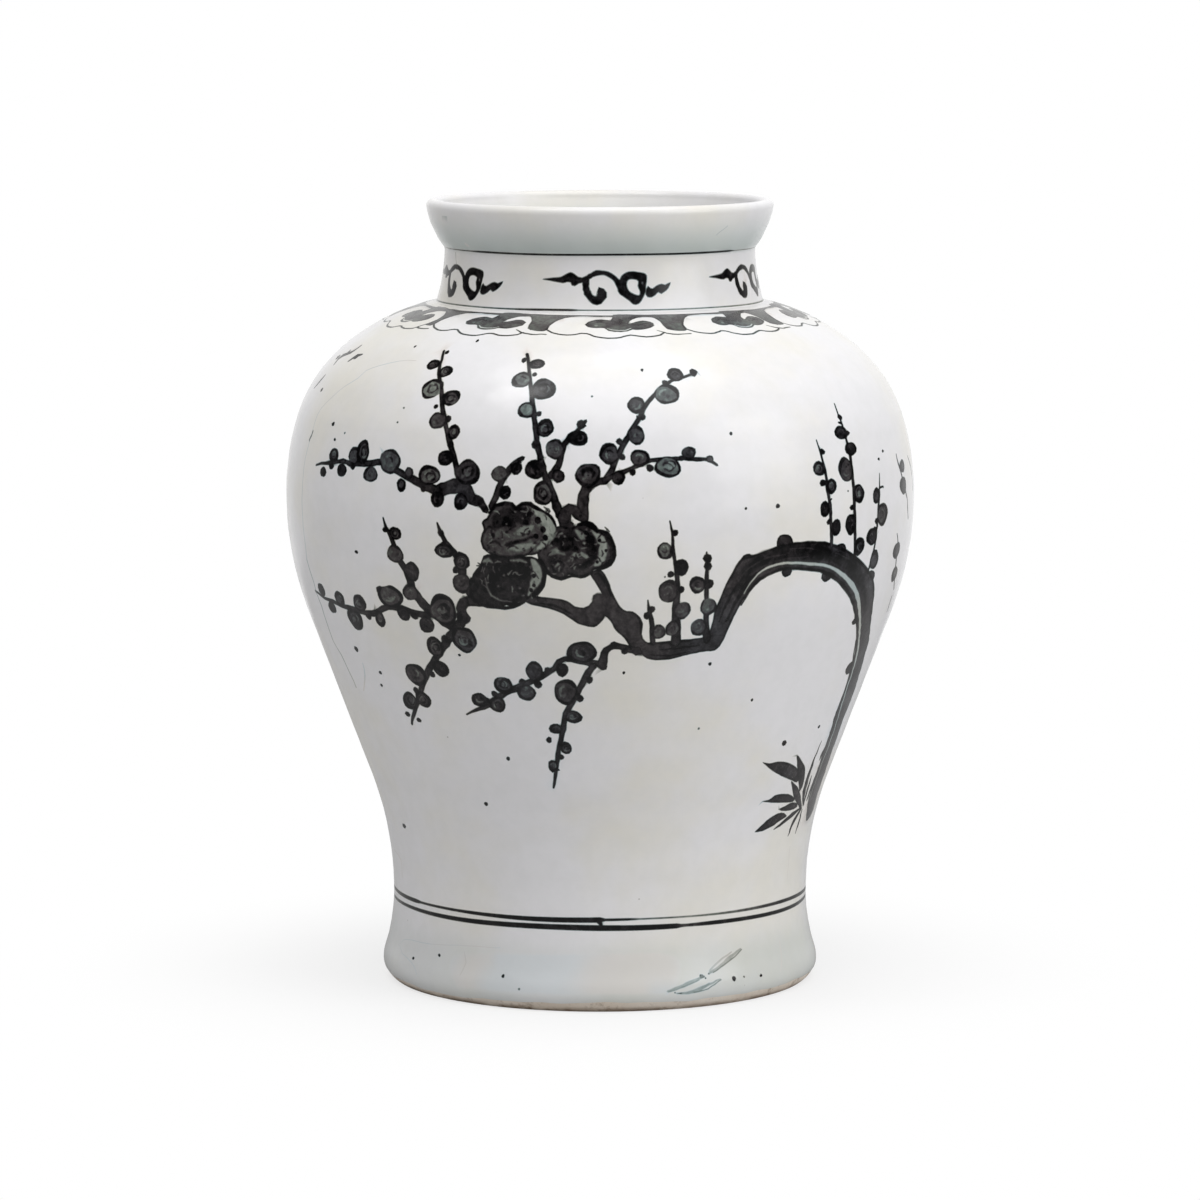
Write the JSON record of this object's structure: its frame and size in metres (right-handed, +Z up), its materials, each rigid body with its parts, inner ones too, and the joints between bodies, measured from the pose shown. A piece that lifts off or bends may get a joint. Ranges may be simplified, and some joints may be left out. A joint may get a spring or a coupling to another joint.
{
  "type": "porcelain baluster jar",
  "caption": "Tall wide-mouthed baluster jar of glazed porcelain with a high shoulder, drawn-in waist and spreading foot, painted under the glaze.",
  "frame": {"origin": "centre of the foot's standing ring, on the surface it stands on", "axes": "+Z up along the jar's axis, -Y towards the side that the picture shows"},
  "size_m": [0.3211, 0.3212, 0.4],
  "materials": {
    "biscuit": "bare fired porcelain, burnt tan where it stands",
    "clay": "fired porcelain body, hidden under the glaze",
    "slip": "fired slip, hidden in the joints",
    "painted_glaze": "glossy clear glaze over dark blue-grey painting",
    "plain_glaze": "glossy clear glaze"
  },
  "bodies": {
    "root": {"foot_ring": "biscuit", "foot_slip": "slip", "base_slab": "biscuit", "base_coil": "slip", "lower_wall": "clay", "belly_slip": "slip", "upper_wall": "clay", "neck_slip": "slip", "neck_collar": "clay", "mouth_slip": "slip", "mouth_ring": "clay", "outside_glaze": "painted_glaze", "inside_glaze": "plain_glaze"}
  },
  "joints": []
}
